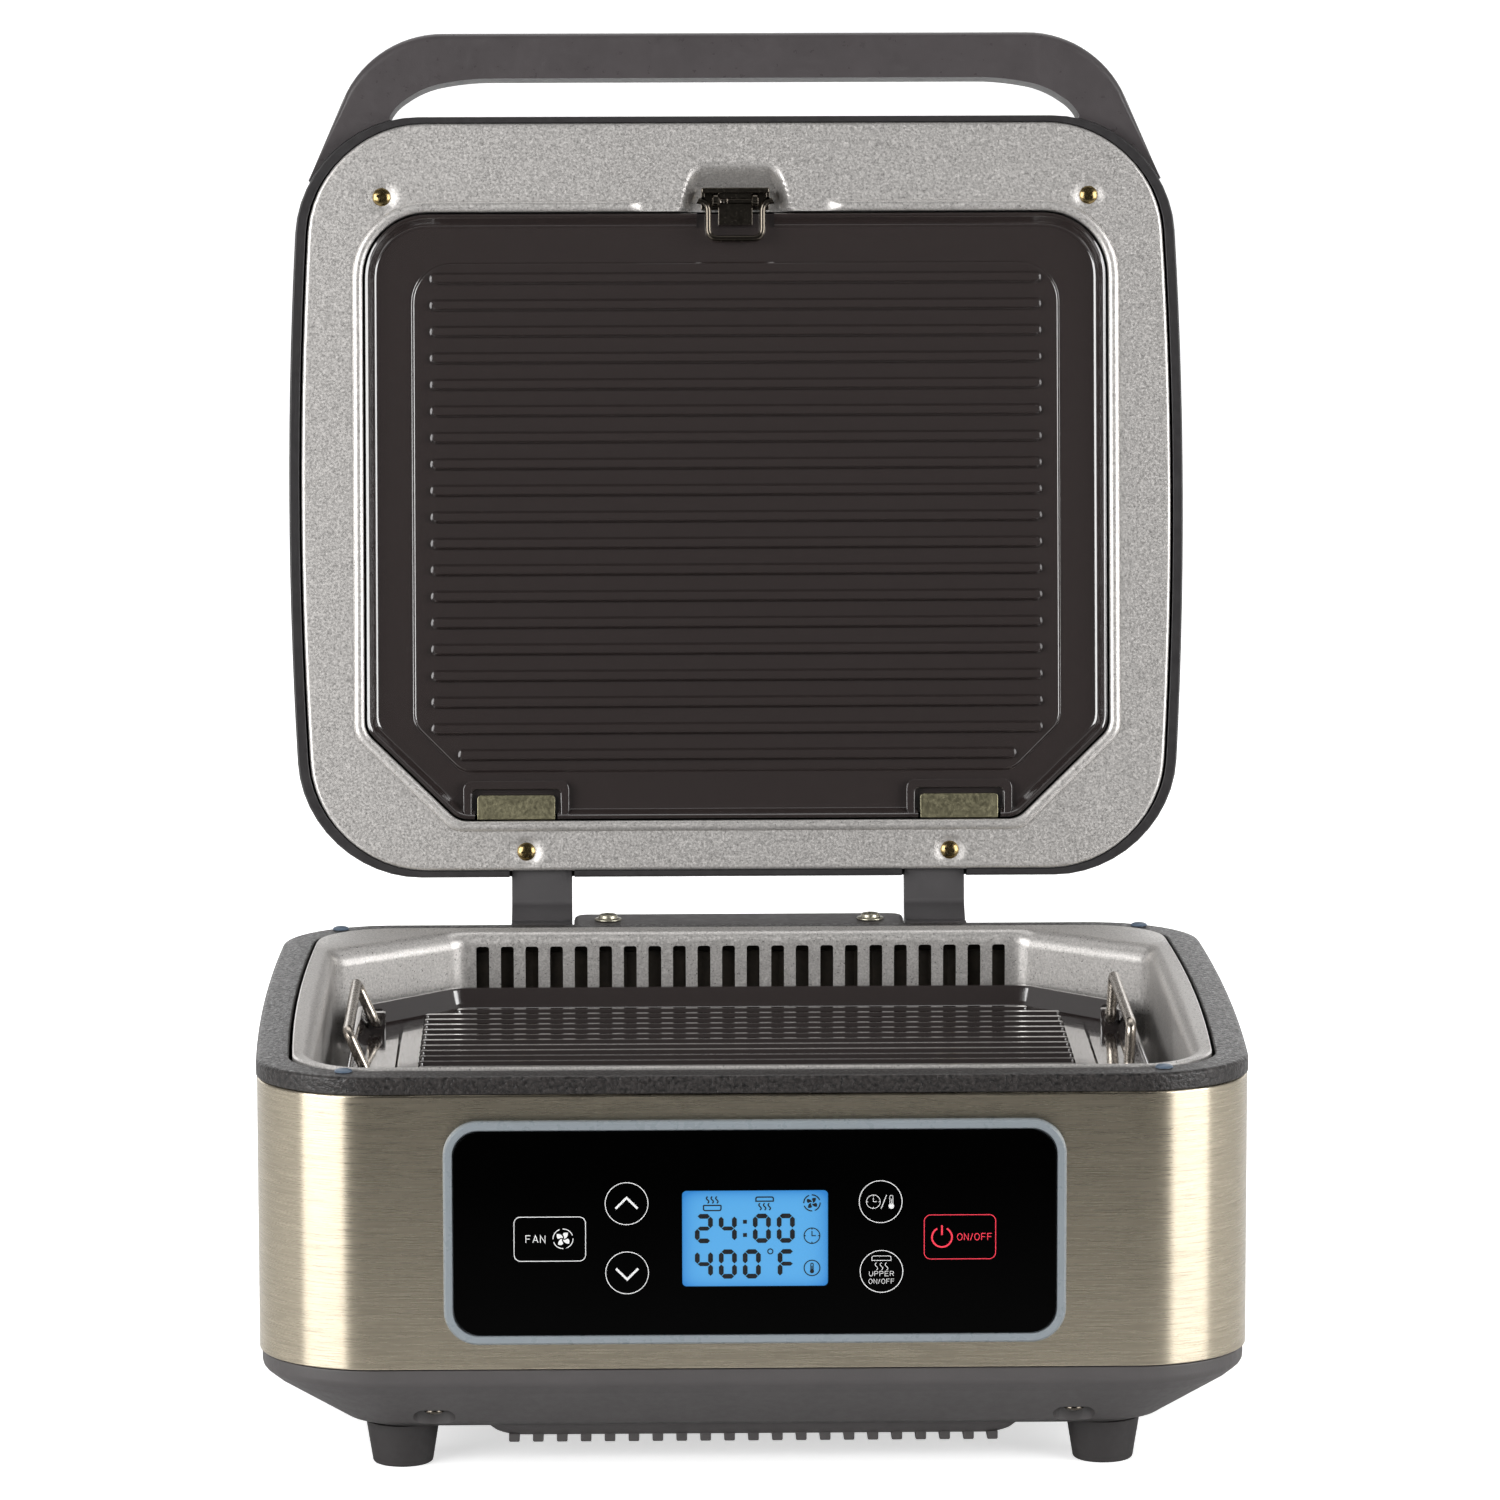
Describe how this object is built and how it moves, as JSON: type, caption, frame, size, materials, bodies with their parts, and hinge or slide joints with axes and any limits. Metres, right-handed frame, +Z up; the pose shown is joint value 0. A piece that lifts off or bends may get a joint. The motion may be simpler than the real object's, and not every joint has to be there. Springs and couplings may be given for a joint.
{
  "type": "electric contact grill with hinged lid",
  "caption": "Table-top electric grill with a hinged lid, upper and lower ribbed plates, a slotted well, a fan and a touch panel.",
  "frame": {"origin": "on the table under the middle of the open grill's bounding box", "axes": "+Z up, front with the control panel faces -Y, +X to the right seen from the front"},
  "size_m": [0.3612, 0.4348, 0.4954],
  "materials": {
    "body_plastic": "fine grained charcoal, semi-matte",
    "foot_rubber": "matte",
    "brushed_steel": "brushed along its length",
    "bumper_silicone": "translucent slate blue",
    "liner_aluminium": "satin, fine speckle",
    "nonstick": "cast, under a semi-gloss dark non-stick coating",
    "heater_sheath": "heat-tinted sheath",
    "plated_steel": "plated",
    "wire_steel": "polished wire",
    "screw_steel": "plated, cross recess",
    "bezel_grey": "satin grey with a bright edge",
    "panel_glass": "black, polished",
    "lcd_blue": "backlit",
    "circuit_board": "green solder mask",
    "inlet_plastic": "moulded",
    "fan_plastic": "moulded",
    "lid_plastic": "satin black",
    "handle_plastic": "fine grained, semi-matte",
    "tab_steel": "zinc-yellow plated",
    "latch_steel": "dark blued",
    "hinge_arm_paint": "dark satin paint",
    "panel_print": "screen-printed line",
    "panel_red": "screen-printed line",
    "lcd_ink": "dark display segment"
  },
  "bodies": {
    "base": {"base_tub": "body_plastic", "top_rim": "body_plastic", "hinge_cover": "body_plastic", "foot_front_left": "foot_rubber", "foot_rear_left": "foot_rubber", "foot_front_right": "foot_rubber", "foot_rear_right": "foot_rubber", "steel_wrap": "brushed_steel", "lid_bumper_front_left": "bumper_silicone", "lid_bumper_front_right": "bumper_silicone", "lid_bumper_rear_left": "bumper_silicone", "lid_bumper_rear_right": "bumper_silicone", "base_liner": "liner_aluminium", "drip_tray": "liner_aluminium", "smoke_duct": "liner_aluminium", "lower_grill_plate": "nonstick", "lower_heating_element": "heater_sheath", "temperature_sensor": "plated_steel", "hinge_bracket": "plated_steel", "hinge_shaft": "plated_steel", "fan_motor": "plated_steel", "smoke_filter": "plated_steel", "base_screw_1": "screw_steel", "base_screw_2": "screw_steel", "base_screw_3": "screw_steel", "base_screw_4": "screw_steel", "hinge_cover_screw_left": "screw_steel", "hinge_cover_screw_right": "screw_steel", "control_bezel": "bezel_grey", "control_glass": "panel_glass", "lcd_module": "lcd_blue", "control_board": "circuit_board", "power_board": "circuit_board", "power_inlet": "inlet_plastic", "fan_shroud": "fan_plastic"},
    "lid": {"lid_shell": "lid_plastic", "lid_top_panel": "brushed_steel", "lid_handle": "handle_plastic", "lid_liner": "liner_aluminium", "upper_grill_plate": "nonstick", "upper_heating_element": "heater_sheath", "upper_reflector": "liner_aluminium", "plate_tab_left": "tab_steel", "plate_tab_right": "tab_steel", "latch_bracket": "latch_steel", "latch_spring": "plated_steel", "hinge_arm_left": "hinge_arm_paint", "hinge_arm_right": "hinge_arm_paint", "lid_screw_front_left": "screw_steel", "lid_screw_front_right": "screw_steel", "lid_screw_rear_left": "screw_steel", "lid_screw_rear_right": "screw_steel"},
    "latch": {"latch_lever": "wire_steel"},
    "plate_wire_left": {"plate_handle_left": "wire_steel"},
    "plate_wire_right": {"plate_handle_right": "wire_steel"},
    "fan": {"fan_impeller": "fan_plastic"}
  },
  "joints": [
    {"name": "lid_hinge", "type": "hinge", "parent": "base", "child": "lid", "pos_m": [0, 0.1164, 0.14], "axis": [1, 0, 0], "range_deg": [0, 98]},
    {"name": "latch_swing", "type": "hinge", "parent": "lid", "child": "latch", "pos_m": [0, 0.16841, 0.42958], "axis": [-1, 0, 0], "range_deg": [0, 45], "stiffness_Nm_per_rad": 0.01},
    {"name": "left_wire_fold", "type": "hinge", "parent": "base", "child": "plate_wire_left", "pos_m": [-0.1412, -0.0386, 0.126], "axis": [0, 1, 0], "range_deg": [0, 95]},
    {"name": "right_wire_fold", "type": "hinge", "parent": "base", "child": "plate_wire_right", "pos_m": [0.1412, -0.0386, 0.126], "axis": [0, -1, 0], "range_deg": [0, 74]},
    {"name": "fan_spin", "type": "hinge", "parent": "base", "child": "fan", "pos_m": [0, -0.0391, 0.05], "axis": [0, 0, 1], "continuous": true}
  ]
}
